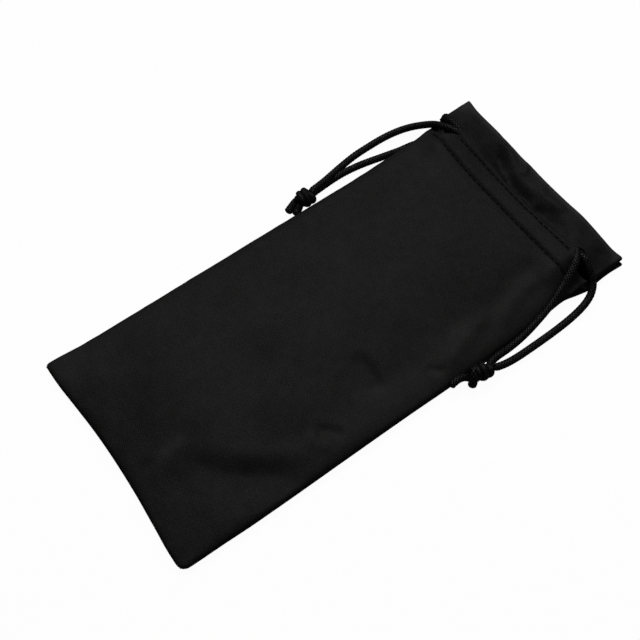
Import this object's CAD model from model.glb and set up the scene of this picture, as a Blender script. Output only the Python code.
import math

import bpy
import numpy as np
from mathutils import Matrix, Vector


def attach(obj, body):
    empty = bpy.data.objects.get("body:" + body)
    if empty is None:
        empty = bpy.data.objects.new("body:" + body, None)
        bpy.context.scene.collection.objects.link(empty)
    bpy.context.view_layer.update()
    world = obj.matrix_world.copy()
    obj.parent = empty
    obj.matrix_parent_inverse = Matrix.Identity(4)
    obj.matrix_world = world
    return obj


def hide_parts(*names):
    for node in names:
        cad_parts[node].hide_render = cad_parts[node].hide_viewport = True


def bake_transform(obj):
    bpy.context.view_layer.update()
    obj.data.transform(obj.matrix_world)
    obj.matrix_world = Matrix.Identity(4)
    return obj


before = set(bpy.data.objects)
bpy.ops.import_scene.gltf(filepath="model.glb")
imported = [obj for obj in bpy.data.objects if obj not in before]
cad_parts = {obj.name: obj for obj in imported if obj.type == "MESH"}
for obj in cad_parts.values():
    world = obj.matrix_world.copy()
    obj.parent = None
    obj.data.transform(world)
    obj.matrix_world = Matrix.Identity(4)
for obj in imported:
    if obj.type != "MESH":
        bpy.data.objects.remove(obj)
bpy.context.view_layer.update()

# ---- working coordinates -------------------------------------------------------------------
# Everything is laid out in millimetres with the mouth at y 90 and the bottom seam near y -90, and moved
# to the row frame, in metres, when a mesh is made.
CX, CY = 1.45, -0.5


def to_row(p):
    p = np.asarray(p, float)
    return (p - np.array([CX, CY, 0.0])) / 1000.0


def sm(t):
    t = np.clip(t, 0.0, 1.0)
    return t * t * (3 - 2 * t)


def lerp(a, b, t):
    return a + (b - a) * t


def curve1(points):
    """A smooth function through (t, value) points: cubic with finite-difference slopes."""
    t = np.array([p[0] for p in points], float)
    v = np.array([p[1] for p in points], float)
    m = np.gradient(v, t)

    def f(x):
        x = np.asarray(x, float)
        k = np.clip(np.searchsorted(t, x) - 1, 0, len(t) - 2)
        h = t[k + 1] - t[k]
        s = np.clip((x - t[k]) / h, 0, 1)
        return ((2 * s**3 - 3 * s**2 + 1) * v[k] + (s**3 - 2 * s**2 + s) * h * m[k]
                + (-2 * s**3 + 3 * s**2) * v[k + 1] + (s**3 - s**2) * h * m[k + 1])
    return f


# ---- deterministic noise -------------------------------------------------------------------
_lattice = np.random.default_rng(7).uniform(-1, 1, (128, 128))


def noise2(x, y, seed=0):
    """Smooth value noise in -1..1 with unit cells."""
    x = np.asarray(x, float) + 17.3 * seed
    y = np.asarray(y, float) + 9.1 * seed
    i, j = np.floor(x).astype(int), np.floor(y).astype(int)
    u, v = x - i, y - j
    u, v = u**3 * (u * (6 * u - 15) + 10), v**3 * (v * (6 * v - 15) + 10)
    a = _lattice[i % 128, j % 128]
    b = _lattice[(i + 1) % 128, j % 128]
    c = _lattice[i % 128, (j + 1) % 128]
    d = _lattice[(i + 1) % 128, (j + 1) % 128]
    return lerp(lerp(a, b, u), lerp(c, d, u), v)


# ---- outline of the bag --------------------------------------------------------------------
right_edge = curve1([(-97, 41.9), (-91, 41.95), (-85, 42.1), (-75, 42.3), (-68, 42.55), (-55, 42.7), (-30, 42.7), (0, 42.8), (12, 43.0), (30, 43.0), (44, 42.7), (55, 42.1), (65, 41.5), (78, 41.3), (90, 41.4), (95, 41.4)])
right_back = curve1([(-97, 41.9), (-91, 41.95), (-85, 42.1), (-75, 42.3), (-68, 42.55), (-55, 42.7), (-30, 42.7), (0, 42.8), (12, 43.0), (30, 43.0), (42, 42.8), (52, 42.2), (60, 41.4), (65, 41.3), (70, 42.4), (74.5, 43.2), (79, 42.6), (85, 42.4), (90, 42.7), (95, 42.7)])
left_edge = curve1([(-97, -41.7), (-91, -41.7), (-86, -41.55), (-80, -41.05), (-75, -40.8), (-65, -40.6), (-50, -40.5), (-35, -40.35), (-20, -40.15), (0, -39.95), (15, -39.75), (25, -39.6), (45, -39.5), (60, -39.25), (67, -39.4),
                    (71.5, -40.1), (76, -40.9), (84, -41.3), (90, -41.5), (95, -41.5)])
bottom_edge = curve1([(-46, -90.75), (-41, -90.8), (-33, -90.75), (-27, -90.35), (-21, -89.95), (-15, -89.6), (-9, -89.4), (3, -89.45), (9, -89.65), (15, -89.95), (21, -90.4), (27, -90.85), (33, -91.35), (39, -91.5), (46, -91.5)])
mouth_front = curve1([(-44, 90.2), (-41.5, 90.1), (-35, 88.9), (-29, 87.7), (-20, 86.7), (-11, 86.4), (0, 86.4), (11, 86.6), (22, 87.3), (31, 88.3), (38, 89.3), (41.5, 90.0), (44, 90.3)])
slit_mid = curve1([(-44, 74.5), (-28.4, 74.5), (-24, 76.6), (-18, 77.4), (0, 77.4), (30.7, 77.1), (44, 77.1)])
LEFT_APEX, RIGHT_APEX = -28.4, 30.7
low_right = curve1([(30.7, 77.1), (31.3, 75.7), (32.1, 74.9), (33.4, 74.4), (35.0, 73.7), (36.8, 73.3), (39, 73.8), (41.6, 74.7), (45, 74.9)])
up_right = curve1([(30.7, 77.1), (31.3, 78.1), (32.2, 78.7), (33.5, 78.9), (36, 78.4), (39, 77.7), (41.6, 77.5), (45, 77.5)])
low_left = curve1([(-45, 72.4), (-41.6, 72.6), (-39.6, 72.8), (-38, 72.7), (-36.4, 71.9), (-33.4, 71.4), (-31.2, 72.2), (-28.4, 74.5)])
up_left = curve1([(-45, 78.0), (-41.6, 78.0), (-38, 77.9), (-34, 77.1), (-31.2, 75.9), (-28.4, 74.5)])
low_row = curve1([(-42, 70.4), (-38.5, 70.0), (-36, 69.3), (-32.5, 68.3), (-20, 66.9), (0, 66.7), (20, 67.1), (35, 67.9), (39, 68.3), (42, 68.6)])
high_row = curve1([(-42, 74.8), (-28.4, 73.9), (-14, 73.4), (0, 73.3), (16, 73.8), (31.2, 74.7), (42, 75.4)])


def slit_low(x):
    return np.where(x > RIGHT_APEX, low_right(x), np.where(x < LEFT_APEX, low_left(x), slit_mid(x)))


def slit_up(x):
    return np.where(x > RIGHT_APEX, up_right(x), np.where(x < LEFT_APEX, up_left(x), slit_mid(x)))


# ---- the cloth's height --------------------------------------------------------------------
EDGE_Z, CROWN_Z = 3.15, 7.4
CASING_Z = 10.2
PITCH = 2.5
HOLES_LOW = np.arange(-37.4, 37.2, PITCH)
HOLES_HIGH = np.arange(-27.6, 31.0, PITCH)


def away(x, y, points):
    """Distance of each point from a polyline, how far along it the nearest place is, 0 to 1, and whether it's on the left."""
    p = np.array(points, float)
    seg = np.linalg.norm(np.diff(p, axis=0), axis=1)
    along = np.r_[0, np.cumsum(seg)]
    best, where, left = np.full(np.shape(x), 1e9), np.zeros(np.shape(x)), np.zeros(np.shape(x), bool)
    for k in range(len(p) - 1):
        d = p[k + 1] - p[k]
        t = np.clip(((x - p[k, 0]) * d[0] + (y - p[k, 1]) * d[1]) / (d @ d), 0, 1)
        r = np.hypot(x - p[k, 0] - t * d[0], y - p[k, 1] - t * d[1])
        m = r < best
        best = np.where(m, r, best)
        where = np.where(m, (along[k] + t * seg[k]) / along[-1], where)
        left = np.where(m, d[0] * (y - p[k, 1]) - d[1] * (x - p[k, 0]) > 0, left)
    return best, where, left


# (points, height, left width, right width): folds of the cloth, ridges above zero and valleys below. Left and right
# are seen along the line from its first point.
FOLDS = [
    ([(41, -40), (37, -48), (32, -56), (26, -63.5), (18, -69.5), (9, -73)], -1.9, 9.0, 4.2),
    ([(9.8, -67), (8.2, -73), (6.8, -79), (6, -84)], 0.55, 2.4, 3.2),
    ([(30, -75), (20, -78), (11, -79)], -0.35, 4.0, 4.0),
    ([(-40, -61), (-26, -67), (-12, -73), (2, -79)], -0.95, 10.0, 7.0),
    ([(-38, -74), (-30, -79), (-20, -83)], 0.40, 4.0, 4.0),
    ([(36, -34), (32, -44), (26, -53.5), (18, -62)], 0.50, 4.0, 4.0),
    ([(35.5, 66), (32.0, 60), (31.5, 53), (34.5, 44), (38, 36)], 0.85, 2.8, 3.8),
    ([(29, 63), (27, 55), (27.5, 46)], -0.45, 4.0, 4.0),
    ([(39, 12), (35.5, 21), (32.5, 30), (31.5, 40)], 1.0, 3.2, 3.0),
    ([(29, 34), (28, 24), (30, 14)], -0.35, 4.0, 4.0),
    ([(39, 15), (36.5, 11.5), (33.5, 9)], -0.55, 1.5, 1.2),
    ([(37, -25), (33.5, -28.5), (29.5, -33)], -0.80, 3.0, 1.7),
    ([(38, -30), (34, -34.5), (30, -38)], 0.35, 2.4, 2.4),
    ([(34, -7.2), (25, -6.8), (15, -6.2)], -1.0, 5.0, 2.2),
    ([(30, -15), (24, -14), (18, -15)], -0.25, 3.0, 3.0),
    ([(12, 4), (20, 2), (30, 1)], 0.30, 4.0, 4.0),
    ([(-31, 62), (-32, 36), (-31, 6), (-31, -20)], -0.30, 4.5, 4.5),
    ([(-36.5, 60), (-36.6, 24), (-36.4, -30)], 0.32, 2.4, 2.4),
    ([(-20, 30), (-8, 12), (-4, -8)], 0.22, 6.0, 6.0),
    ([(0, 40), (8, 20), (10, 0)], -0.20, 6.0, 6.0),
    ([(-25, -15), (-12, -32), (2, -42)], -0.25, 6.0, 6.0),
]


def wrinkles(x, y, side, low):
    w = np.zeros_like(x)
    for points, height, wide_left, wide_right in FOLDS:
        r, t, left = away(x, y, points)
        w += height * np.exp(-(r / np.where(left, wide_left, wide_right)) ** 2) * sm(np.minimum(t, 1 - t) / 0.28)
    w += 0.42 * noise2(x / 23 + 0.4 * noise2(x / 15, y / 15, 3), y / 31, 1)
    w += 0.20 * noise2(x / 9, y / 12, 2) + 0.055 * noise2(x / 3.3, y / 3.8, 4)
    keep = sm(np.minimum(side, low) / 3.0)
    w *= 0.25 + 0.75 * keep
    # puckers square to the seams
    w += 0.13 * np.exp(-side / 4.5) * noise2(y / 3.6, 0.0 * y + 2.5, 5)
    w += 0.16 * np.exp(-low / 5.0) * noise2(x / 3.4, 0.0 * x + 1.5, 6)
    return w


# the frill's waves: (points, height, width)
LIP_FOLDS = [
    ([(-22, 79.6), (-17, 79.4), (-12.5, 79.4), (-8, 78.0), (-3, 76.6), (1, 76.1), (5, 76.1), (12, 76.5), (18, 77.2), (25, 77.8)], -2.7, 3.0),
    ([(-20, 85.2), (-13, 84.6), (-8.5, 82.4), (-5.0, 80.6)], 0.85, 1.7),
    ([(-5, 86.0), (-3.2, 83.8), (-2.0, 81.2)], 0.85, 1.2),
    ([(3, 85.0), (8, 82.2), (13, 82.6), (19, 83.8)], 0.8, 1.9),
    ([(28.5, 77.5), (27.5, 81), (24.5, 84.5)], 0.45, 1.8),
    ([(35, 85), (36.2, 81)], -0.55, 2.3),
    ([(-38, 79.5), (-35.5, 82.5), (-33, 86)], 0.55, 2.4),
    ([(-31, 78.0), (-28, 81.5), (-25.5, 85.5)], -0.65, 2.8),
]


def crest(e, shoulder):
    """Share of the full height at a distance from a seam: a quick rise at the rolled edge, then a long gentle one."""
    e = np.maximum(e, 0)
    return 0.24 * (1 - np.exp(-e / 1.9)) + 0.76 * np.sin(np.pi / 2 * np.clip(e / shoulder, 0, 1))


def left_lift(x, y):
    """The left edge rides up over the strand that passes under it."""
    return 1.4 * sm((y - 37) / 22.0) * sm((72.5 - y) / 5.0) * (1 - sm((x - left_edge(y)) / 9.0))


def front_z(x, y, stitched=True):
    side = np.minimum(x - left_edge(y), right_edge(y) - x)
    low = y - bottom_edge(x)
    middle = lerp(CROWN_Z, CASING_Z - 0.2, sm((y - 8) / 58.0))
    shoulder = lerp(38.0, 24.0, sm((y - 20) / 44.0))
    body = EDGE_Z + (middle - EDGE_Z) * crest(side, shoulder) * crest(low, 38.0)
    casing = lerp(4.1, CASING_Z, sm(side / 9.8))
    near = sm((y - 58.5) / 8.0)
    z = lerp(body, casing, near) + left_lift(x, y)
    mouth = mouth_front(x)
    v = np.clip((y - 75.2) / (mouth - 75.2), 0, 1.05)
    lip_side = np.clip(41.4 - np.abs(x), 0, 60)
    lip = lerp(lerp(4.5, CASING_Z, sm(lip_side / 9.8)), lerp(4.5, 9.4, sm(lip_side / 22)), v)
    lip = lip + 0.25 * noise2(x / 7, y / 9, 8) * sm(lip_side / 6)
    for points, height, width in LIP_FOLDS:
        r, t, _ = away(x, y, points)
        lip = lip + height * np.exp(-(r / width) ** 2) * (0.15 + 0.85 * sm(np.minimum(t, 1 - t) / 0.22)) * (1 + 0.25 * noise2(x / 3.1, y / 3.3, 14))
    up = sm((y - lerp(75.0, 74.0, sm((27 - np.abs(x)) / 6))) / 2.2)
    z = lerp(z, lip, up)
    z = z + wrinkles(x, y, side, low) * (1 - sm((y - 60) / 7.0)) + 0.10 * noise2(x / 6, y / 5, 9) * sm((y - 60) / 7.0)
    # the casing's ends sink where the rows of stitches stop
    z = z - 0.9 * sm((x - 31.5) / 4.5) * sm((y - 64) / 6.0) * (1 - up) * sm(side / 3.0)
    z = z - 0.3 * sm((-29.0 - x) / 5.0) * sm((y - 64) / 6.0) * (1 - up) * sm(side / 3.0)
    if stitched:
        a, b = low_row(x), high_row(x)
        in_low = sm((x + 38.5) / 2.0) * sm((37.5 - x) / 2.0)
        in_high = sm((x + 29.8) / 1.2) * sm((31.8 - x) / 1.5)
        z = z + 0.32 * np.sin(np.pi * np.clip((y - a) / (b - a), 0, 1)) * sm((x + 34) / 4) * sm((34 - x) / 4)
        # small waves between the rows, where the cloth is gathered by the stitches
        z = z + 0.07 * noise2(x / 1.9, y / 6, 11) * np.exp(-(np.minimum(np.abs(y - a), np.abs(y - b)) / 2.4) ** 2)
        z = z - in_low * (0.47 * np.exp(-((y - a) / 0.62) ** 2) + 0.16 * np.exp(-((y - a + 1.3) / 1.3) ** 2))
        z = z - in_high * 0.40 * np.exp(-((y - b) / 0.55) ** 2)
        for row, ys, gate in ((HOLES_LOW, a, in_low), (HOLES_HIGH, b, in_high)):
            k = np.clip(np.round((x - row[0]) / PITCH), 0, len(row) - 1)
            dx = x - (row[0] + k * PITCH)
            z = z - gate * 0.32 * np.exp(-((dx / 0.42) ** 2 + ((y - ys) / 0.42) ** 2))
    return z


# ---- mesh makers ---------------------------------------------------------------------------
def new_mesh(name, verts, faces, uv_corner=None, material=None, values=None):
    """verts in working millimetres, faces as an (n, 4) or (n, 3) array, uv_corner one pair for each corner."""
    me = bpy.data.meshes.new(name)
    v = to_row(verts)
    faces = [np.asarray(f) for f in (faces if isinstance(faces, list) else [faces])]
    me.vertices.add(len(v))
    me.vertices.foreach_set("co", v.astype(np.float32).ravel())
    loops = np.concatenate([f.ravel() for f in faces]).astype(np.int32)
    sizes = np.concatenate([np.full(len(f), f.shape[1]) for f in faces]).astype(np.int32)
    me.loops.add(len(loops))
    me.loops.foreach_set("vertex_index", loops)
    me.polygons.add(len(sizes))
    me.polygons.foreach_set("loop_start", np.r_[0, np.cumsum(sizes)[:-1]].astype(np.int32))
    me.polygons.foreach_set("use_smooth", np.ones(len(sizes), bool))
    if uv_corner is not None:
        layer = me.uv_layers.new(name="Flat")
        layer.data.foreach_set("uv", np.asarray(uv_corner, np.float32).ravel())
    for key, val in (values or {}).items():
        at = me.attributes.new(key, "FLOAT", "POINT")
        at.data.foreach_set("value", np.asarray(val, np.float32))
    me.update(calc_edges=True)
    me.validate()
    ob = bpy.data.objects.new(name, me)
    bpy.context.scene.collection.objects.link(ob)
    if material:
        me.materials.append(material)
    return ob


def sheet_mesh(name, verts, quads, thick, uv, material, wear):
    """A closed sheet: the outer face through verts, the inner one thick millimetres behind it, and a rim."""
    q = quads
    n = np.zeros_like(verts)
    d = np.cross(verts[q[:, 2]] - verts[q[:, 0]], verts[q[:, 3]] - verts[q[:, 1]])
    for k in range(4):
        np.add.at(n, q[:, k], d)
    n /= np.maximum(np.linalg.norm(n, axis=1), 1e-9)[:, None]
    m = len(verts)
    both = np.vstack([verts, verts - n * thick])
    inner = q[:, ::-1] + m
    e = np.concatenate([q[:, [0, 1]], q[:, [1, 2]], q[:, [2, 3]], q[:, [3, 0]]])
    key = np.sort(e, axis=1)
    _, first, count = np.unique(key[:, 0].astype(np.int64) * (m + 1) + key[:, 1], return_index=True, return_counts=True)
    rim = e[first[count == 1]]
    wall = np.stack([rim[:, 1], rim[:, 0], rim[:, 0] + m, rim[:, 1] + m], 1)
    faces = np.concatenate([q, inner, wall])
    used = np.zeros(2 * m, bool)
    used[faces.ravel()] = True
    new = np.cumsum(used) - 1
    faces = new[faces]
    uv2 = np.vstack([uv, uv])[used]
    return new_mesh(name, both[used], faces, uv2[faces.ravel()], material, {"wear": np.r_[wear, wear][used]})


def smooth_path(points, step):
    """Centripetal Catmull-Rom through the points, resampled every step millimetres."""
    p = np.array(points, float)
    p = np.vstack([2 * p[0] - p[1], p, 2 * p[-1] - p[-2]])
    out = []
    for k in range(1, len(p) - 2):
        p0, p1, p2, p3 = p[k - 1:k + 3]
        t0 = 0.0
        t1 = t0 + np.linalg.norm(p1 - p0) ** 0.5
        t2 = t1 + np.linalg.norm(p2 - p1) ** 0.5
        t3 = t2 + np.linalg.norm(p3 - p2) ** 0.5
        t = np.linspace(t1, t2, 24, endpoint=False)[:, None]
        a1 = (t1 - t) / (t1 - t0) * p0 + (t - t0) / (t1 - t0) * p1
        a2 = (t2 - t) / (t2 - t1) * p1 + (t - t1) / (t2 - t1) * p2
        a3 = (t3 - t) / (t3 - t2) * p2 + (t - t2) / (t3 - t2) * p3
        b1 = (t2 - t) / (t2 - t0) * a1 + (t - t0) / (t2 - t0) * a2
        b2 = (t3 - t) / (t3 - t1) * a2 + (t - t1) / (t3 - t1) * a3
        out.append((t2 - t) / (t2 - t1) * b1 + (t - t1) / (t2 - t1) * b2)
    out = np.vstack(out + [p[-2:-1]])
    s = np.r_[0, np.cumsum(np.linalg.norm(np.diff(out, axis=0), axis=1))]
    n = max(4, int(round(s[-1] / step)))
    u = np.linspace(0, s[-1], n + 1)
    line = np.stack([np.interp(u, s, out[:, i]) for i in range(3)], 1)
    for _ in range(3):
        line[1:-1] = (line[:-2] + 2 * line[1:-1] + line[2:]) / 4
    return line


CELL = 1.22           # length of one crossing of the braid along the cord
CARRIERS = 7          # strands each way round the cord


def braid(angle, s, count=CARRIERS, cell=CELL):
    u = count * angle / (2 * np.pi) + s / cell
    v = count * angle / (2 * np.pi) - s / cell
    iu, iv = np.floor(u), np.floor(v)
    over = ((iu + iv) % 2) < 0.5
    across = np.where(over, u - iu, v - iv) * 2 - 1
    along = np.where(over, v - iv, u - iu) * 2 - 1
    return np.sqrt(np.maximum(0, 1 - 0.92 * across**2)) * (1 - 0.62 * along**2) - 0.52


def tube_mesh(name, line, wide, tall, ref, material, round_=40, caps=(True, True), amount=0.14, phase=0.0, even=0.0):
    """A braided cord along line. wide and tall are its half widths across and along ref at each point."""
    n = len(line)
    t = np.gradient(line, axis=0)
    t /= np.linalg.norm(t, axis=1)[:, None]
    ref = np.broadcast_to(np.asarray(ref, float), line.shape)
    e2 = ref - (ref * t).sum(1)[:, None] * t
    e2 /= np.linalg.norm(e2, axis=1)[:, None]
    e1 = np.cross(t, e2)
    s = np.r_[0, np.cumsum(np.linalg.norm(np.diff(line, axis=0), axis=1))]
    wide, tall = np.broadcast_to(wide, n).astype(float), np.broadcast_to(tall, n).astype(float)
    rows, ss, shrink, push = list(range(n)), list(s), [1.0] * n, [0.0] * n
    dome = [(0.35, 0.94), (0.62, 0.80), (0.82, 0.60), (0.94, 0.36)]
    if caps[0]:
        for f, c in dome:
            rows.insert(0, 0); ss.insert(0, s[0] - f * 0.5 * wide[0]); shrink.insert(0, c); push.insert(0, -f * 0.5 * wide[0])
    if caps[1]:
        for f, c in dome:
            rows.append(n - 1); ss.append(s[-1] + f * 0.5 * wide[-1]); shrink.append(c); push.append(f * 0.5 * wide[-1])
    rows, ss, shrink, push = np.array(rows), np.array(ss), np.array(shrink), np.array(push)
    a = np.linspace(0, 2 * np.pi, round_, endpoint=False)
    h = braid(a[None, :], ss[:, None] + phase)
    lift = np.clip((h + 0.52) / 1.0, 0, 1)
    lift = lerp(lift, 0.72, np.broadcast_to(even, n)[rows][:, None])
    h = h * amount
    h = h * np.minimum(1, shrink[:, None])
    w, l = (wide[rows] * shrink)[:, None], (tall[rows] * shrink)[:, None]
    nx, ny = np.cos(a)[None] / np.maximum(w, 0.05), np.sin(a)[None] / np.maximum(l, 0.05)
    k = np.hypot(nx, ny)
    px, py = np.cos(a)[None] * w + h * nx / k, np.sin(a)[None] * l + h * ny / k
    centre = line[rows] + t[rows] * push[:, None]
    v = centre[:, None, :] + e1[rows][:, None, :] * px[..., None] + e2[rows][:, None, :] * py[..., None]
    m = len(rows)
    verts = v.reshape(-1, 3)
    i, j = np.meshgrid(np.arange(m - 1), np.arange(round_), indexing="ij")
    j2 = (j + 1) % round_
    quads = np.stack([i * round_ + j, i * round_ + j2, (i + 1) * round_ + j2, (i + 1) * round_ + j], -1).reshape(-1, 4)
    girth = 7.5
    uv = np.stack([
        np.stack([ss[i], j / round_ * girth], -1), np.stack([ss[i], (j + 1) / round_ * girth], -1),
        np.stack([ss[i + 1], (j + 1) / round_ * girth], -1), np.stack([ss[i + 1], j / round_ * girth], -1)], 2).reshape(-1, 2)
    ends, uv_ends, tips = [], [], []
    for row, flip in ((0, True), (m - 1, False)):
        tip = len(verts) + len(tips)
        tips.append(centre[row] + t[rows[row]] * (-0.02 if row == 0 else 0.02))
        ring = row * round_ + np.arange(round_)
        nxt = row * round_ + (np.arange(round_) + 1) % round_
        tri = np.stack([nxt, ring, np.full(round_, tip)], 1) if flip else np.stack([ring, nxt, np.full(round_, tip)], 1)
        ends.append(tri)
        uv_ends.append(np.tile([[ss[row], 0.0]], (3 * round_, 1)))
    verts = np.vstack([verts, tips])
    return new_mesh(name, verts, [quads, ends[0], ends[1]], np.vstack([uv, *uv_ends]) / 10.0, material, {"lift": np.r_[lift.ravel(), 0.3, 0.3]})


def join(name, objects):
    """One object of several."""
    bpy.ops.object.select_all(action="DESELECT")
    for o in objects:
        o.select_set(True)
    bpy.context.view_layer.objects.active = objects[0]
    bpy.ops.object.join()
    objects[0].name = name
    objects[0].data.name = name
    return objects[0]


# ---- materials -----------------------------------------------------------------------------
class Tree:
    def __init__(self, name):
        self.mat = bpy.data.materials.new(name)
        self.mat.use_nodes = True
        self.t = self.mat.node_tree
        self.t.nodes.clear()
        self.out = self.t.nodes.new("ShaderNodeOutputMaterial")
        self.bsdf = self.t.nodes.new("ShaderNodeBsdfPrincipled")
        self.t.links.new(self.bsdf.outputs[0], self.out.inputs[0])

    def node(self, kind, **props):
        n = self.t.nodes.new(kind)
        for k, v in props.items():
            setattr(n, k, v)
        return n

    def put(self, socket, value):
        if isinstance(value, bpy.types.NodeSocket):
            self.t.links.new(value, socket)
        else:
            socket.default_value = value

    def math(self, op, a, b=0.0, c=None):
        n = self.node("ShaderNodeMath", operation=op)
        self.put(n.inputs[0], a)
        self.put(n.inputs[1], b)
        if c is not None:
            self.put(n.inputs[2], c)
        return n.outputs[0]

    def noise(self, vector, scale, detail=2.0, rough=0.5):
        n = self.node("ShaderNodeTexNoise")
        self.put(n.inputs["Vector"], vector)
        n.inputs["Scale"].default_value = scale
        n.inputs["Detail"].default_value = detail
        n.inputs["Roughness"].default_value = rough
        return n.outputs[0]

    def range(self, value, a, b, c, d):
        n = self.node("ShaderNodeMapRange")
        self.put(n.inputs[0], value)
        for k, v in zip((1, 2, 3, 4), (a, b, c, d)):
            n.inputs[k].default_value = v
        return n.outputs[0]

    def colour(self, value, dark, light):
        n = self.node("ShaderNodeMix", data_type="RGBA")
        self.put(n.inputs[0], value)
        n.inputs[6].default_value = (*dark, 1)
        n.inputs[7].default_value = (*light, 1)
        return n.outputs[2]

    def bump(self, height, strength, distance, normal=None):
        n = self.node("ShaderNodeBump")
        n.inputs["Strength"].default_value = strength
        n.inputs["Distance"].default_value = distance
        self.put(n.inputs["Height"], height)
        if normal is not None:
            self.put(n.inputs["Normal"], normal)
        return n.outputs[0]


def microfibre():
    m = Tree("microfibre_cloth")
    uv = m.node("ShaderNodeUVMap", uv_map="Flat")            # one unit is 10 mm of flat cloth
    sep = m.node("ShaderNodeSeparateXYZ")
    m.put(sep.inputs[0], uv.outputs[0])
    u, v = sep.outputs[0], sep.outputs[1]
    # two diagonal families of ribs, 0.68 mm apart
    k = 2 * math.pi * 10 / 0.68
    wobble = m.math("MULTIPLY", m.noise(uv.outputs[0], 2.2, 2.0), 0.9)
    one = m.math("SINE", m.math("ADD", m.math("MULTIPLY", m.math("ADD", u, v), k * 0.7071), wobble))
    two = m.math("SINE", m.math("ADD", m.math("MULTIPLY", m.math("SUBTRACT", u, v), k * 0.7071), wobble))
    twill = m.math("ADD", m.math("MULTIPLY", one, 0.52), m.math("MULTIPLY", two, 0.48))
    fuzz = m.noise(uv.outputs[0], 42.0, 3.0, 0.62)
    grain = m.noise(uv.outputs[0], 17.0, 2.0, 0.55)
    height = m.math("ADD", m.math("MULTIPLY", twill, 0.24), m.math("ADD", m.math("MULTIPLY", fuzz, 0.9), m.math("MULTIPLY", grain, 0.7)))
    soft = m.noise(uv.outputs[0], 1.6, 3.0, 0.55)
    normal = m.bump(height, 1.0, 0.00010)
    normal = m.bump(soft, 0.35, 0.0004, normal)
    m.put(m.bsdf.inputs["Normal"], normal)
    mottle = m.noise(uv.outputs[0], 0.42, 3.0, 0.55)
    patch = m.noise(uv.outputs[0], 3.1, 3.0, 0.6)
    wear = m.node("ShaderNodeAttribute", attribute_name="wear").outputs["Fac"]
    level = m.math("ADD", m.math("MULTIPLY", mottle, 0.16), m.math("MULTIPLY", patch, 0.24))
    level = m.math("ADD", level, m.math("ADD", m.math("MULTIPLY", grain, 0.60), m.math("MULTIPLY", fuzz, 0.35)))
    level = m.math("ADD", level, m.math("MULTIPLY", twill, 0.13))
    level = m.math("ADD", level, m.math("MULTIPLY", wear, 0.55))
    colour = m.colour(m.range(level, 0.315, 1.035, 0.0, 1.0), (0.0013, 0.0015, 0.0013), (0.0162, 0.0170, 0.0157))
    m.put(m.bsdf.inputs["Base Color"], colour)
    m.put(m.bsdf.inputs["Roughness"], m.range(fuzz, 0.3, 0.7, 0.58, 0.72))
    m.put(m.bsdf.inputs["Specular IOR Level"], m.range(level, 0.315, 1.035, 0.04, 0.27))
    m.bsdf.inputs["Sheen Weight"].default_value = 0.0
    m.bsdf.inputs["Sheen Roughness"].default_value = 0.45
    m.bsdf.inputs["Sheen Tint"].default_value = (0.93, 0.95, 0.92, 1)
    return m.mat


def cord_material():
    m = Tree("braided_cord")
    uv = m.node("ShaderNodeUVMap", uv_map="Flat")
    sep = m.node("ShaderNodeSeparateXYZ")
    m.put(sep.inputs[0], uv.outputs[0])
    s, a = sep.outputs[0], sep.outputs[1]
    # filaments run along each carrier; two fine diagonal families
    k = 2 * math.pi * 10 / 0.21
    one = m.math("SINE", m.math("MULTIPLY", m.math("ADD", s, a), k * 0.7071))
    two = m.math("SINE", m.math("MULTIPLY", m.math("SUBTRACT", s, a), k * 0.7071))
    fine = m.noise(uv.outputs[0], 45.0, 2.0, 0.6)
    height = m.math("ADD", m.math("MULTIPLY", one, 0.2), m.math("ADD", m.math("MULTIPLY", two, 0.2), fine))
    m.put(m.bsdf.inputs["Normal"], m.bump(height, 0.5, 0.00006))
    spots = m.noise(uv.outputs[0], 9.0, 2.0, 0.6)
    # the crown of each carrier is rubbed lighter and shinier, and the gaps between them are dark
    lift = m.node("ShaderNodeAttribute", attribute_name="lift").outputs["Fac"]
    crown = m.range(m.math("ADD", m.math("MULTIPLY", lift, 0.76), m.math("ADD", m.math("MULTIPLY", spots, 0.52), m.math("MULTIPLY", fine, 0.2))), 0.60, 1.22, 0.0, 1.0)
    m.put(m.bsdf.inputs["Base Color"], m.colour(m.math("POWER", crown, 2.6), (0.0006, 0.0006, 0.0006), (0.030, 0.0300, 0.0288)))
    m.put(m.bsdf.inputs["Roughness"], m.range(crown, 0.0, 1.0, 0.70, 0.36))
    m.put(m.bsdf.inputs["Specular IOR Level"], m.range(crown, 0.0, 1.0, 0.0, 0.30))
    return m.mat


def thread_material():
    m = Tree("sewing_thread")
    uv = m.node("ShaderNodeUVMap", uv_map="Flat")
    sep = m.node("ShaderNodeSeparateXYZ")
    m.put(sep.inputs[0], uv.outputs[0])
    twist = m.math("SINE", m.math("MULTIPLY", m.math("ADD", sep.outputs[0], sep.outputs[1]), 2 * math.pi * 10 / 0.22))
    fine = m.noise(uv.outputs[0], 60.0, 2.0, 0.6)
    m.put(m.bsdf.inputs["Normal"], m.bump(m.math("ADD", m.math("MULTIPLY", twist, 0.6), fine), 0.5, 0.00004))
    m.put(m.bsdf.inputs["Base Color"], m.colour(fine, (0.0012, 0.0012, 0.0012), (0.0050, 0.0050, 0.0048)))
    m.put(m.bsdf.inputs["Roughness"], m.range(fine, 0.3, 0.7, 0.50, 0.66))
    m.bsdf.inputs["Specular IOR Level"].default_value = 0.07
    return m.mat


cloth_mat, cord_mat, thread_mat = microfibre(), cord_material(), thread_material()

# ---- front cloth ---------------------------------------------------------------------------
CLOTH = 0.4
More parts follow.
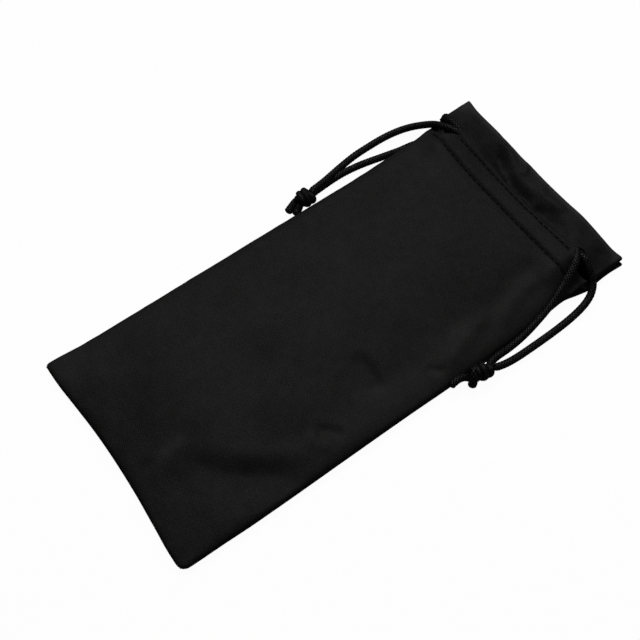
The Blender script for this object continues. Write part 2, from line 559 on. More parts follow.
# the seam: distance inwards from the outline, and share of the way from the seam up to the cloth's face
ROLL = [(6.0, 0.0), (4.3, 0.0), (2.7, 0.0), (1.5, 0.0), (0.95, 0.015), (0.5, 0.10), (0.16, 0.27), (0.0, 0.50), (0.05, 0.72), (0.28, 0.88), (0.66, 0.965), (1.12, 1.0), (1.65, 1.0), (2.25, 1.0)]
KA = 7                       # the row or column of the outline itself
SEAM_Z = 1.64


def round_corner(a, b, radius):
    """Distances from two edges with their corner rounded: the square of side radius is bent to a quarter circle."""
    ua, ub = np.clip(1 - a / radius, 0, None), np.clip(1 - b / radius, 0, None)
    ua, ub = np.minimum(ua, 3), np.minimum(ub, 3)
    ka = np.where((ua > 0) & (ub > 0), np.sqrt(np.maximum(0.05, 1 - np.minimum(ub, 1) ** 2 / 2)), 1)
    kb = np.where((ua > 0) & (ub > 0), np.sqrt(np.maximum(0.05, 1 - np.minimum(ua, 1) ** 2 / 2)), 1)
    return np.where(ua > 0, radius * (1 - ua * ka), a), np.where(ub > 0, radius * (1 - ub * kb), b)


# where the nap lies lighter or darker: (x, y, reach across, reach along, amount)
NAP = [(-36, -85, 9, 9, 0.26), (-26, 82, 12, 6, -0.30), (-24, 71, 16, 4, -0.16), (36, 10, 6, 60, 0.24), (-38, 87, 4, 4, 0.30), (38, 83, 5, 6, -0.20),
       (0, -52, 22, 16, 0.08), (-8, -76, 16, 6, -0.17), (4, 20, 16, 22, 0.05), (-32, 70, 1.6, 1.3, 0.45), (40.2, 71.8, 2.4, 2.6, -0.55),
       (3, 77.6, 7, 2.2, -0.24), (19, 79.4, 6, 2.6, -0.26), (10, 84.6, 7, 1.4, 0.14), (28.5, 60, 2.6, 8, 0.10), (32.5, 44, 2.4, 6, 0.12), (30, 27, 2.2, 6, 0.12), (34, 13, 3, 3, 0.10),
       (35.5, 51, 3.6, 14, 0.24), (9, -74.5, 2.0, 5.5, 0.52), (13, 42, 11, 20, -0.07), (31, -78, 6, 4, -0.12)]


def nap(x, y):
    t = 0.04 * noise2(x / 11, y / 13, 21) + 0.03 * noise2(x / 5 + y / 9, y / 6, 22)
    for cx, cy, rx, ry, amount in NAP:
        t = t + amount * np.exp(-((x - cx) / rx) ** 2 - ((y - cy) / ry) ** 2)
    # the rolled edges that the light doesn't reach are rubbed less
    return t - 0.55 * np.exp(-np.maximum(y - bottom_edge(x), 0) / 1.0) - 0.35 * np.exp(-np.maximum(right_edge(y) - x, 0) / 0.8) * (y < 70)


def front_cloth():
    nr = len(ROLL)
    mid = 116
    cols = nr * 2 + mid
    body_rows, casing_rows, lip_rows, fold_rows, hem_rows = 205, 36, 20, 5, 20
    roll_a = np.array([r[0] for r in ROLL])
    roll_z = np.array([r[1] for r in ROLL])
    verts, uvs, wears = [], [], []
    grid = []                                   # index of each grid point's vertex, row by row

    def place(y_of, kind, v):
        """One row of points. y_of(x) gives y; x follows the edges at that y."""
        y0 = float(y_of(0.0))
        u = np.linspace(0, 1, mid + 2)[1:-1]
        x = np.zeros(cols)
        y = np.full(cols, y0)
        for _ in range(3):                      # the edges depend on y and y on x
            L, R = left_edge(y), right_edge(y)
            if kind in ("lip", "fold", "hem"):
                L, R = -41.0 - 0.4 * sm((y - 79) / 7.0), np.full(cols, 41.4)
            side = np.ones(cols)
            shrink = 1.0
            if kind == "casing":
                shrink = 1 - 0.88 * sm((v - 0.0) / 0.25)
            elif kind in ("lip", "fold", "hem"):
                shrink = 0.12
            inner = roll_a.copy()
            inner[:KA] *= shrink
            x[:nr] = L[:nr] + inner
            x[-nr:] = R[-nr:] - inner[::-1]
            lo, hi = L[nr:-nr] + roll_a[-1], R[nr:-nr] - roll_a[-1]
            x[nr:-nr] = lerp(lo, hi, u)
            y = y_of(x) * np.ones(cols)
        return x, y

    zf_cols = np.ones(cols)
    zf_cols[:nr] = roll_z
    zf_cols[-nr:] = roll_z[::-1]

    def add_row(x, y, z, wear=0.0, flat_v=None):
        base = sum(len(q) for q in verts)
        verts.append(np.stack([x, y, z], 1))
        # flat position of the cloth: across from the middle, and along with the hem unfolded
        uvs.append(np.stack([x / 10, (y if flat_v is None else flat_v) * np.ones(len(x)) / 10], 1))
        wears.append(wear + nap(x, y))
        return base + np.arange(len(x))

    rows = []
    # bottom allowance and roll
    for k in range(nr):
        b = roll_a[k]
        x, y = place(lambda xx: bottom_edge(xx) + b, "body", 0)
        a = np.minimum(x - left_edge(y), right_edge(y) - x)
        is_left = x - left_edge(y) < right_edge(y) - x
        radius = np.where(is_left, 1.6, 3.2)
        a2, b2 = np.zeros(cols), np.zeros(cols)
        for rad in (1.6, 3.2):
            aa, bb = round_corner(a, np.full(cols, b), rad)
            a2, b2 = np.where(radius == rad, aa, a2), np.where(radius == rad, bb, b2)
        x = np.where(is_left, left_edge(y) + a2, right_edge(y) - a2)
        y = bottom_edge(x) + b2
        z = SEAM_Z + (front_z(x, y) - SEAM_Z) * zf_cols * roll_z[k]
        rows.append(add_row(x, y, z))
    y_start = roll_a[-1]
    for k in range(1, body_rows + 1):
        v = k / body_rows
        x, y = place(lambda xx: lerp(bottom_edge(xx) + y_start, 64.0, v), "body", v)
        b = y - bottom_edge(x)
        a = np.minimum(x - left_edge(y), right_edge(y) - x)
        is_left = x - left_edge(y) < right_edge(y) - x
        radius = np.where(is_left, 1.6, 3.2)
        a2 = np.zeros(cols)
        for rad in (1.6, 3.2):
            aa, bb = round_corner(a, b, rad)
            a2 = np.where(radius == rad, aa, a2)
        x = np.where(is_left, left_edge(y) + a2, right_edge(y) - a2)
        base = SEAM_Z + left_lift(x, y)
        z = base + (front_z(x, y) - base) * zf_cols
        rows.append(add_row(x, y, z))
    for k in range(1, casing_rows + 1):
        v = k / casing_rows
        x, y = place(lambda xx: lerp(64.0, slit_low(xx), v), "casing", v)
        open_ = sm(v / 0.35)
        # above the seam the edge is a fold of the front cloth alone
        zf = lerp(zf_cols, 1 - (1 - zf_cols) * 0.42, open_)
        base = SEAM_Z + left_lift(x, y)
        z = base + (front_z(x, y) - base) * zf
        rows.append(add_row(x, y, z, 0.10 * sm((np.abs(x) - 38) / 3) * open_))
    split = len(rows) - 1                     # the row along the slits
    low_ids = rows[split]
    upper = []
    for k in range(0, lip_rows + 1):
        v = k / lip_rows
        x, y = place(lambda xx: lerp(slit_up(xx), mouth_front(xx), v), "lip", v)
        zf = 1 - (1 - zf_cols) * 0.34
        top = front_z(x, y)
        z = lerp(top - 0.9, top, (zf - (1 - 0.34)) / 0.34)
        edge = 0.9 * sm((v - 0.82) / 0.18) + 1.1 * sm((np.abs(x) - 37.5) / 4) * sm((v - 0.5) / 0.5)
        if k == 0:
            shared = (x > LEFT_APEX) & (x < RIGHT_APEX)
            ids = add_row(x, y, z)
            ids = np.where(shared, low_ids, ids)
            upper.append(ids)
        else:
            upper.append(add_row(x, y, z, edge))
    # round the mouth fold
    last_x, last_y = place(lambda xx: mouth_front(xx), "lip", 1)
    top = front_z(last_x, last_y)
    zf = 1 - (1 - zf_cols) * 0.34
    outer = lerp(top - 0.9, top, (zf - (1 - 0.34)) / 0.34)
    radius = 0.52 * (0.35 + 0.65 * np.clip(np.minimum(np.arange(cols), cols - 1 - np.arange(cols)) / 10.0, 0, 1))
    for k in range(1, fold_rows + 1):
        ang = np.pi * k / fold_rows
        y = last_y + radius * np.sin(ang)
        z = outer - radius * (1 - np.cos(ang))
        upper.append(add_row(last_x, y, z, 1.0, last_y + radius * ang))
    # and down again as the inner layer, to the hem's raw edge
    hem_start = len(upper)
    for k in range(1, hem_rows + 1):
        v = k / hem_rows
        y = lerp(last_y, 65.9, v)
        top = front_z(last_x, y, False)
        z_lip = lerp(top - 0.9, top, (zf - (1 - 0.34)) / 0.34) - 2 * radius
        tunnel = sm((y - 67.0) / 1.2) * sm((75.0 - y) / 1.0)
        z_casing = np.minimum(z_lip, 9.55 + 0.15) - 1.95 * tunnel
        z = lerp(z_lip, z_casing, sm((77.0 - y) / 1.5))
        upper.append(add_row(last_x, y, z, 0.0, 2 * last_y - y))

    V = np.vstack(verts)
    UV = np.vstack(uvs)
    W = np.concatenate(wears)
    quads = []
    j = np.arange(cols - 1)

    def strip(lower, higher, keep):
        q = np.stack([lower[j], lower[j + 1], higher[j + 1], higher[j]], 1)
        quads.append(q[keep[j]])
    for r in range(len(rows) - 1):
        keep = np.ones(cols, bool)
        if r < KA:                               # allowances don't cross at the corners
            keep[:KA] = False
            keep[-KA - 1:] = False
        strip(rows[r], rows[r + 1], keep)
    for r in range(len(upper) - 1):
        keep = np.ones(cols, bool)
        if r >= hem_start - 1:
            ym = V[upper[r + 1], 1]
            xm = V[upper[r + 1], 0]
            keep = ~((ym < 76.2) & ((xm > 28.8) | (xm < -28.8)))
            keep[:-1] &= keep[1:]
        strip(upper[r], upper[r + 1], keep)
    Q = np.concatenate(quads)
    return sheet_mesh("front_cloth", V, Q, CLOTH, UV, cloth_mat, W)


front = front_cloth()

# ---- back cloth ----------------------------------------------------------------------------
BACK_ROLL = [(6.0, 1.46), (4.3, 1.46), (2.7, 1.46), (1.4, 1.46), (0.75, 1.42), (0.30, 1.24), (0.06, 0.98), (0.0, 0.70), (0.08, 0.42), (0.30, 0.20), (0.66, 0.07), (1.12, 0.02), (1.65, 0.0), (2.4, 0.0)]


def back_cloth():
    nr = len(BACK_ROLL)
    mid = 70
    cols = nr * 2 + mid
    roll_a = np.array([r[0] for r in BACK_ROLL])
    roll_z = np.array([r[1] for r in BACK_ROLL])
    verts, uvs, wears, rows = [], [], [], []

    def add_row(x, y, z, wear=0.0, flat_v=None):
        base = sum(len(q) for q in verts)
        verts.append(np.stack([x, y, z], 1))
        uvs.append(np.stack([x / 10 + 20, (y if flat_v is None else flat_v) * np.ones(len(x)) / 10], 1))
        wears.append(np.broadcast_to(wear, len(x)).astype(float))
        return base + np.arange(len(x))

    u = np.linspace(0, 1, mid + 2)[1:-1]

    def place(y_of, shrink):
        x, y = np.zeros(cols), np.full(cols, float(y_of(0.0)))
        inner = roll_a.copy()
        inner[:KA] *= shrink
        for _ in range(3):
            L, R = left_edge(y), right_back(y)
            x[:nr] = L[:nr] + inner
            x[-nr:] = R[-nr:] - inner[::-1]
            x[nr:-nr] = lerp(L[nr:-nr] + roll_a[-1], R[nr:-nr] - roll_a[-1], u)
            y = y_of(x) * np.ones(cols)
        return x, y

    cz = np.zeros(cols)
    cz[:nr], cz[-nr:] = roll_z, roll_z[::-1]

    def flat(x, y):
        side = np.minimum(x - left_edge(y), right_back(y) - x)
        return 0.02 + (0.06 + 0.06 * noise2(x / 9, y / 9, 12)) * sm(side / 6) * 0.4 + 1.1 * left_lift(x, np.minimum(y, 66.0)) * sm((69.5 - y) / 4.0)

    def corner(x, y, b):
        a = np.minimum(x - left_edge(y), right_back(y) - x)
        left = x - left_edge(y) < right_back(y) - x
        a2, b2 = np.zeros(cols), np.zeros(cols)
        for rad, m in ((1.6, left), (3.2, ~left)):
            aa, bb = round_corner(a, b, rad)
            a2, b2 = np.where(m, aa, a2), np.where(m, bb, b2)
        return np.where(left, left_edge(y) + a2, right_back(y) - a2), b2

    for k in range(nr):
        b = roll_a[k]
        x, y = place(lambda xx: bottom_edge(xx) + b, 1.0)
        x, b2 = corner(x, y, np.full(cols, b))
        y = bottom_edge(x) + b2
        z = np.maximum(np.maximum(cz, roll_z[k]), 0) + flat(x, y)
        rows.append(add_row(x, y, z))
    n1, n2 = 96, 24
    for k in range(1, n1 + 1):
        v = k / n1
        x, y = place(lambda xx: lerp(bottom_edge(xx) + roll_a[-1], 64.0, v), 1.0)
        b = y - bottom_edge(x)
        x, _ = corner(x, y, b)
        rows.append(add_row(x, y, cz + flat(x, y)))
    for k in range(1, n2 + 1):
        v = k / n2
        y = lerp(64.0, 89.9, v)
        s = 1 - 0.88 * sm(v / 0.12)
        x, yy = place(lambda xx: y + 0 * np.asarray(xx), s)
        rows.append(add_row(x, yy, cz * (1 - 0.45 * sm(v / 0.15)) + flat(x, yy), 0.4 * sm((v - 0.9) / 0.1)))
    lx, ly = verts[-1][:, 0].copy(), verts[-1][:, 1].copy()
    lz = verts[-1][:, 2].copy()
    top = np.maximum(1.06, lz + 0.25)
    for k in range(1, 5):
        a = np.pi * k / 5
        r = (top - lz) / 2
        rows.append(add_row(lx, ly + r * np.sin(a), lz + r * (1 - np.cos(a)), 0.8, ly + r * a))
    hem0 = len(rows)
    for k in range(0, 17):
        v = k / 16
        y = lerp(ly, 65.9, v)
        tunnel = sm((y - 67.0) / 1.2) * sm((75.2 - y) / 1.0)
        x = np.clip(lx, -40.9, 41.0)
        rows.append(add_row(x, y, top + 1.95 * tunnel, 0.0, 2 * ly - y))
    V, UV, W = np.vstack(verts), np.vstack(uvs), np.concatenate(wears)
    quads = []
    j = np.arange(cols - 1)
    for r in range(len(rows) - 1):
        keep = np.ones(cols, bool)
        if r < KA:
            keep[:KA] = False
            keep[-KA - 1:] = False
        if r >= hem0 - 1:
            ym, xm = V[rows[r + 1], 1], V[rows[r + 1], 0]
            keep = ~((ym < 76.2) & ((xm > 28.8) | (xm < -28.8)))
            keep[:-1] &= keep[1:]
        q = np.stack([rows[r][j + 1], rows[r][j], rows[r + 1][j], rows[r + 1][j + 1]], 1)
        quads.append(q[keep[j]])
    return sheet_mesh("back_cloth", V, np.concatenate(quads), CLOTH, UV, cloth_mat, W)


back = back_cloth()


# ---- stitches ------------------------------------------------------------------------------
def stitches(name, holes, y_of, z_of, radius=0.2, bow=0.16, seed=1):
    """Separate lock stitches from hole to hole, each sinking into the cloth at both ends."""
    rng = np.random.default_rng(seed)
    verts, quads, tris, uv4, uv3 = [], [], [], [], []
    n_ring, n_len = 8, 9
    base = 0
    for a, b in zip(holes[:-1], holes[1:]):
        t = np.linspace(0, 1, n_len)
        gap = 0.17
        p, q = np.array(y_of(a)), np.array(y_of(b))
        d = (q - p) / np.linalg.norm(q - p)
        p, q = p + d * gap, q - d * gap
        shift = np.array([-d[1], d[0]]) * rng.uniform(-0.05, 0.05)
        xy = p + (q - p) * t[:, None] + shift * np.sin(np.pi * t)[:, None]
        z = z_of(xy[:, 0], xy[:, 1])
        z = lerp(z[0], z[-1], t) * 0.35 + z * 0.65 + bow * np.sin(np.pi * t) ** 0.7 + 0.10 - 0.34 * (np.abs(2 * t - 1) ** 6)
        c = np.column_stack([xy, z])
        r = radius * (1 - 0.55 * np.abs(2 * t - 1) ** 4) * rng.uniform(0.94, 1.06)
        tang = np.gradient(c, axis=0)
        tang /= np.linalg.norm(tang, axis=1)[:, None]
        across = np.cross(tang, [0, 0, 1.0])
        across /= np.linalg.norm(across, axis=1)[:, None]
        up = np.cross(across, tang)
        ang = np.linspace(0, 2 * np.pi, n_ring, endpoint=False)
        ring = c[:, None] + across[:, None] * (np.cos(ang) * 1.15)[None, :, None] * r[:, None, None] + up[:, None] * np.sin(ang)[None, :, None] * r[:, None, None]
        verts.append(ring.reshape(-1, 3))
        for i in range(n_len - 1):
            for k in range(n_ring):
                k2 = (k + 1) % n_ring
                quads.append([base + i * n_ring + k, base + (i + 1) * n_ring + k, base + (i + 1) * n_ring + k2, base + i * n_ring + k2])
                s0, s1 = a + 2.2 * t[i], a + 2.2 * t[i + 1]
                uv4 += [[s0, k * .15], [s1, k * .15], [s1, (k + 1) * .15], [s0, (k + 1) * .15]]
        tip = base + n_len * n_ring
        verts.append(np.array([c[0] - tang[0] * r[0] * 0.5, c[-1] + tang[-1] * r[-1] * 0.5]))
        for k in range(n_ring):
            k2 = (k + 1) % n_ring
            tris.append([base + k, base + k2, tip])
            tris.append([base + (n_len - 1) * n_ring + k2, base + (n_len - 1) * n_ring + k, tip + 1])
            uv3 += [[a, 0]] * 6
        base += n_len * n_ring + 2
    ob = new_mesh(name, np.vstack(verts), [np.array(quads), np.array(tris)], np.array(uv4 + uv3) / 10.0, thread_mat)
    return ob


front_face = lambda x, y: front_z(np.asarray(x, float), np.asarray(y, float))
low_stitches = stitches("front_lower_stitches", HOLES_LOW, lambda x: (x, float(low_row(x))), front_face, seed=3)
high_stitches = stitches("front_upper_stitches", HOLES_HIGH, lambda x: (x, float(high_row(x))), front_face, seed=4)
back_low = stitches("back_lower_stitches", np.arange(-27.5, 27.6, PITCH), lambda x: (x, 66.8), lambda x, y: 1.06 + 0 * x, radius=0.17, seed=5)
back_high = stitches("back_upper_stitches", np.arange(-27.5, 27.6, PITCH), lambda x: (x, 75.6), lambda x, y: 1.06 + 0 * x, radius=0.17, seed=6)
seam_level = lambda x, y: 1.46 + 0 * x
left_seam = stitches("left_seam_stitches", np.arange(-85, 62, PITCH), lambda y: (float(left_edge(y)) + 1.9, y), seam_level, radius=0.15, bow=0.02, seed=7)
right_seam = stitches("right_seam_stitches", np.arange(-85, 62, PITCH), lambda y: (float(right_edge(y)) - 1.9, y), seam_level, radius=0.15, bow=0.02, seed=8)
bottom_seam = stitches("bottom_seam_stitches", np.arange(-38, 38.1, PITCH), lambda x: (x, float(bottom_edge(x)) + 1.9), seam_level, radius=0.15, bow=0.02, seed=9)

# ---- cords ---------------------------------------------------------------------------------
R = 1.29              # half the cord's diameter
STEP = 0.16


def strand(name, points, flat_to=0.0, on_cloth=0.0, ease=110):
    """A free strand. Its first flat_to millimetres go from pressed flat in the casing to round."""
    line = smooth_path(points, STEP)
    for _ in range(ease):                                  # a limp cord takes no sharp bend
        line[1:-1] = (line[:-2] + 2 * line[1:-1] + line[2:]) / 4
    s = np.r_[0, np.cumsum(np.linalg.norm(np.diff(line, axis=0), axis=1))]
    f = 1 - sm(s / flat_to) if flat_to else np.zeros(len(s))
    tight = 1 - 0.42 * sm((s - s[-1] + 2.2) / 2.0)         # squeezed as it enters the knot
    press = on_cloth * sm((s - 9) / 5) * sm((30 - s) / 10)  # and a little wider where it lies on the cloth
    ob = tube_mesh(name, line, (lerp(R, 1.35, f) + 0.17 * press) * tight, (lerp(R, 0.95, f) - 0.10 * press) * tight, (0, 0, 1), cord_mat)
    return ob, line


def inner_cord(name, points, ref=(0, 1, 0)):
    """The stretch that the casing holds: pressed flat, out along the front, round the far bight and back."""
    line = smooth_path(points, 0.22)
    t = np.gradient(line, axis=0)
    t /= np.linalg.norm(t, axis=1)[:, None]
    free = sm((np.abs(line[:, 0]) - 25) / 5.0)             # rounder where the casing doesn't press it
    return tube_mesh(name, line, lerp(0.9, 1.18, free), lerp(1.35, 1.3, free), np.array(ref, float), cord_mat, round_=32)


RIGHT_A = [(21.5, 73.6, 8.4), (23.8, 75.2, 8.0), (26.2, 76.8, 7.7), (28.7, 77.8, 7.7), (30.4, 77.7, 8.1), (31.6, 76.9, 8.6), (32.8, 75.7, 8.95), (34.2, 74.0, 9.0), (35.5, 71.9, 8.8), (36.7, 69.1, 8.15), (38.1, 65.3, 7.2), (39.8, 60.8, 6.3), (41.3, 56.2, 5.3), (42.5, 50.5, 4.3),
           (43.5, 44.7, 3.4), (44.0, 39.0, 2.8), (44.1, 34.5, 2.8), (44.2, 31.2, 3.5), (44.6, 28.8, 4.1), (45.0, 27.3, 4.3)]
RIGHT_B = [(22.0, 72.7, 1.8), (25.5, 73.0, 2.1), (28.4, 74.2, 3.3), (30.6, 75.8, 5.3), (32.4, 77.2, 7.2), (34.2, 77.7, 8.0), (36.1, 77.3, 7.8), (38.2, 76.8, 6.8), (40.8, 76.5, 5.2), (43.2, 75.3, 3.6), (45.0, 73.2, 2.4), (46.2, 70.4, 1.7), (47.0, 67.0, 1.4),
           (47.65, 62.0, 1.3), (48.0, 56.0, 1.3), (48.1, 50.0, 1.3), (48.05, 43.0, 1.3), (47.9, 36.8, 1.45), (47.5, 32.2, 2.0), (46.9, 29.0, 2.8), (46.4, 27.3, 3.3)]
LEFT_A = [(-17.0, 69.8, 8.6), (-20.0, 70.2, 8.6), (-23.0, 71.6, 8.5), (-25.9, 73.8, 8.5), (-28.6, 75.4, 8.6), (-31.2, 75.4, 8.6), (-33.7, 74.5, 8.4), (-36.1, 73.6, 7.7), (-38.7, 72.9, 6.4), (-41.0, 71.9, 4.9), (-43.0, 70.0, 3.8), (-45.1, 66.9, 3.0), (-46.8, 63.6, 2.1), (-48.0, 59.4, 1.5),
          (-48.55, 54.5, 1.3), (-48.6, 49.0, 1.3), (-48.4, 42.2, 1.3), (-47.3, 35.0, 1.6), (-45.9, 29.6, 2.6), (-44.8, 25.6, 3.5), (-44.05, 21.7, 4.2), (-43.8, 19.3, 4.25), (-43.7, 18.1, 4.1)]
LEFT_B = [(-28.0, 69.7, 1.7), (-31.5, 69.5, 1.6), (-34.8, 68.6, 1.5), (-37.6, 66.6, 1.35), (-39.3, 63.8, 1.3), (-40.0, 60.6, 1.3), (-40.4, 57.4, 1.3), (-41.2, 54.0, 1.3), (-42.1, 50.0, 1.3), (-43.05, 46.0, 1.3), (-43.9, 42.0, 1.3),
          (-44.5, 38.0, 1.3), (-44.85, 34.0, 1.3), (-44.9, 30.5, 1.3), (-44.7, 26.5, 1.35), (-44.15, 22.5, 1.9), (-43.7, 19.5, 2.65), (-43.5, 18.1, 3.0)]
right_a, line_ra = strand("right_cord_upper_strand", RIGHT_A, 5.0, 1.0, 190)
right_b, line_rb = strand("right_cord_lower_strand", RIGHT_B, 5.0)
left_a, line_la = strand("left_cord_upper_strand", LEFT_A, 5.0)
left_b, line_lb = strand("left_cord_lower_strand", LEFT_B, 5.0)
RIGHT_INNER = [(23.4, 72.75, 8.6), (20, 72.7, 8.7), (0, 72.7, 8.75), (-19, 72.7, 8.8), (-22.5, 73.3, 8.6), (-25.6, 74.7, 8.4), (-28.7, 76.0, 8.1), (-31.1, 76.75, 8.7), (-33.65, 76.7, 8.8), (-36.2, 76.8, 8.4), (-38.2, 77.1, 7.5), (-39.7, 77.5, 6.4),
               (-40.1, 77.4, 4.9), (-39.7, 76.7, 3.2), (-38.3, 75.5, 2.0), (-36.2, 74.3, 1.6), (-33.2, 73.4, 1.6), (-30.0, 72.9, 1.6), (-27.0, 72.7, 1.6), (-23, 72.7, 1.6), (0, 72.7, 1.6), (22, 72.7, 1.7), (25.0, 72.9, 2.0)]
LEFT_INNER = [(-22.4, 70.0, 8.65), (-19.0, 69.7, 8.75), (-12, 69.7, 8.75), (0, 69.7, 8.75), (26, 69.7, 8.85), (30.4, 69.7, 8.8), (32.9, 69.7, 8.0), (34.4, 69.7, 6.6), (34.9, 69.7, 5.1), (34.3, 69.7, 3.4), (32.2, 69.7, 2.0), (28, 69.7, 1.6), (0, 69.7, 1.6), (-27, 69.7, 1.6), (-31, 69.85, 1.7)]
right_inner = inner_cord("right_cord_in_casing", RIGHT_INNER)
left_inner = inner_cord("left_cord_in_casing", LEFT_INNER)


def knot(name, centre, axis, up, entries, tails, spin=0.0, lean=0.45, ends=(1.3, 1.3), girth=1.0):
    """An overhand knot tied in both strands together: each goes through the core, winds once round it beside the
    other, and dives under its own turn to its tail. entries and tails are points, entries first to last."""
    a = np.array(axis, float); a /= np.linalg.norm(a)
    e2 = np.array(up, float); e2 -= a * (e2 @ a); e2 /= np.linalg.norm(e2)
    e1 = np.cross(e2, a)
    c = np.array(centre, float)
    made = []
    for k in (0, 1):
        th0 = spin + np.pi * k

        def at(r, th, s):
            return c + a * (s + lean * np.cos(th - spin - 0.6) * sm((r - 1.2) / 0.8)) + (e1 * np.cos(th) + e2 * np.sin(th)) * r
        pts = list(entries[k])
        pts += [at(0.85, th0, -3.0), at(0.66, th0 + 0.15, -1.6), at(0.62, th0 + 0.45, 0.2), at(0.8, th0 + 0.95, 1.5), at(1.5, th0 + 1.6, 2.35), at(2.12, th0 + 2.3, 2.3)]
        first = len(pts) - 1
        turn = 2 * np.pi * 0.98
        for i in range(1, 15):
            f = i / 15
            pts.append(at(2.38 * girth, th0 + 2.3 + turn * f, lerp(2.25, -1.8, f)))
        pts += [at(2.15, th0 + 2.3 + turn, -1.9), at(1.55, th0 + 3.0 + turn, -1.75), at(1.15, th0 + 3.45 + turn, -0.9), at(1.12, th0 + 3.6 + turn, 0.6), at(1.2, th0 + 3.7 + turn, 2.2)]
        last = len(pts) - 5
        pts += list(tails[k])
        line = smooth_path(pts, 0.13)
        s = np.r_[0, np.cumsum(np.linalg.norm(np.diff(line, axis=0), axis=1))]
        radial = line - c - ((line - c) @ a)[:, None] * a
        inside = ((line - c) @ a)
        rad = np.linalg.norm(radial, axis=1)
        within = sm((2.9 - np.abs(inside)) / 1.1)
        turned = sm((rad - 1.35) / 0.7) * within
        free = lerp(R, ends[k], sm((inside - 2.4) / 2.0))      # the cut ends fray a little wider
        wide = lerp(lerp(free, 0.68, within), 1.04, turned)
        tall = lerp(lerp(free, 0.68, within), 0.70 * girth, turned)
        ref = np.where(rad[:, None] > 0.3, radial / np.maximum(rad, 1e-6)[:, None], e2)
        mix = sm((np.abs(inside) - 2.6) / 1.2)[:, None]
        ref = ref * (1 - mix) + e2 * mix
        for _ in range(30):
            ref[1:-1] = (ref[:-2] + 2 * ref[1:-1] + ref[2:]) / 4
        ref /= np.maximum(np.linalg.norm(ref, axis=1), 1e-6)[:, None]
        made.append(tube_mesh(f"{name}_{k}", line, wide, tall, ref, cord_mat, round_=36, amount=0.11, even=0.55 * within))
    return join(name, made)


right_knot = knot("right_cord_overhand_knot", (45.55, 24.3, 3.9), (-0.08, -1.0, -0.02), (0.25, 0, 1.0),
                  [[(44.65, 28.9, 4.1), (44.95, 27.8, 4.2)], [(46.5, 28.6, 3.0), (46.2, 27.7, 3.4)]],
                  [[(45.7, 20.6, 2.7), (44.5, 19.3, 2.9), (43.6, 17.7, 3.7), (43.2, 15.9, 4.0), (43.2, 14.3, 4.0), (43.4, 12.7, 3.9)], [(43.9, 21.7, 5.8), (44.7, 20.7, 5.9), (45.8, 19.8, 4.8), (46.6, 19.2, 3.3), (46.85, 18.9, 2.2)]], spin=2.3, ends=(1.30, 1.50), girth=1.05)
left_knot = knot("left_cord_overhand_knot", (-43.27, 16.5, 3.58), (0.03, -1.0, -0.05), (0, 0, 1.0),
                 [[(-43.95, 21.1, 4.2), (-43.7, 20.1, 4.3)], [(-43.85, 21.3, 2.15), (-43.7, 20.1, 2.55)]],
                 [[(-42.3, 13.3, 2.5), (-41.6, 11.9, 1.75), (-40.95, 10.5, 1.42)], [(-44.5, 13.3, 2.6), (-44.1, 11.2, 1.7), (-43.3, 9.0, 1.42)]], spin=1.4, ends=(1.42, 1.42), girth=1.12)

# ---- bodies, frame nodes and declarations --------------------------------------------------
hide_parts("front_panel", "front_hem", "front_lip")
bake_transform(front)
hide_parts("back_panel", "back_hem")
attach(back, "pouch")
for piece, node in ((low_stitches, "front_lower_stitching"), (high_stitches, "front_upper_stitching"), (back_low, "back_lower_stitching"), (back_high, "back_upper_stitching"),
                    (left_seam, "left_seam_thread"), (right_seam, "right_seam_thread"), (bottom_seam, "bottom_seam_thread")):
    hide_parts(node)
    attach(piece, "pouch")

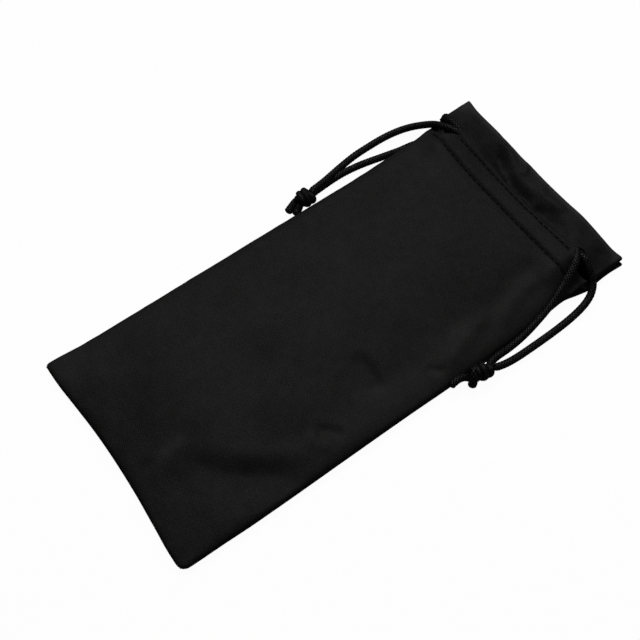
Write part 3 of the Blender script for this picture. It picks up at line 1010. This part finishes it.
for side, upper, lower, inner, tied, lines, sgn in (
        ("right", right_a, right_b, right_inner, right_knot, (line_ra, line_rb), 1),
        ("left", left_a, left_b, left_inner, left_knot, (line_la, line_lb), -1)):
    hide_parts(f"{side}_cord_front_strand")
    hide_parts(f"{side}_cord_back_strand")
    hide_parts(f"{side}_cord_front_run", f"{side}_cord_back_run", f"{side}_cord_bight")
    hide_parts(f"{side}_cord_knot", f"{side}_cord_tail_1", f"{side}_cord_tail_2")
    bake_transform(upper)
    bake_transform(lower)
    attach(inner, f"{side}_cord")
    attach(tied, f"{side}_loop")

# ---- floor, light and camera ---------------------------------------------------------------
bpy.ops.mesh.primitive_plane_add(size=6, location=(0, 0, -0.00005))
floor = bpy.context.object
floor.name = "floor"
fm = Tree("floor_paper")
fm.bsdf.inputs["Base Color"].default_value = (0.05, 0.05, 0.05, 1)
fm.bsdf.inputs["Roughness"].default_value = 0.9
fm.bsdf.inputs["Specular IOR Level"].default_value = 0.1
fm.bsdf.inputs["Emission Color"].default_value = (1, 1, 1, 1)
fm.bsdf.inputs["Emission Strength"].default_value = 0.9605
floor.data.materials.append(fm.mat)
floor.visible_diffuse = False
floor.visible_glossy = False

world = bpy.data.worlds.new("studio")
bpy.context.scene.world = world
world.use_nodes = True
world.node_tree.nodes["Background"].inputs[0].default_value = (1, 1, 1, 1)
world.node_tree.nodes["Background"].inputs[1].default_value = 0.10


def area(name, place, aim, size, power):
    data = bpy.data.lights.new(name, "AREA")
    data.shape = "DISK"
    data.size = size
    data.energy = power
    ob = bpy.data.objects.new(name, data)
    bpy.context.scene.collection.objects.link(ob)
    ob.location = place
    ob.rotation_euler = (Vector(aim) - Vector(place)).to_track_quat("-Z", "Y").to_euler()


area("key", (-0.92, 0.52, 1.60), (0, 0.0, 0), 0.70, 15.6)
area("fill", (0.1, 0.7, 0.9), (0, 0, 0), 0.6, 0.6)

cam_data = bpy.data.cameras.new("camera")
cam = bpy.data.objects.new("camera", cam_data)
bpy.context.scene.collection.objects.link(cam)
cam.location = (0.12154, -0.09816, 0.32150)
cam.rotation_euler = (Vector((-0.00392, -0.00642, 0)) - cam.location).to_track_quat("-Z", "Y").to_euler()
cam_data.lens = 59.085
cam_data.sensor_width = 36
cam_data.clip_start, cam_data.clip_end = 0.01, 20
bpy.context.scene.camera = cam
bpy.context.scene.view_settings.view_transform = "Standard"
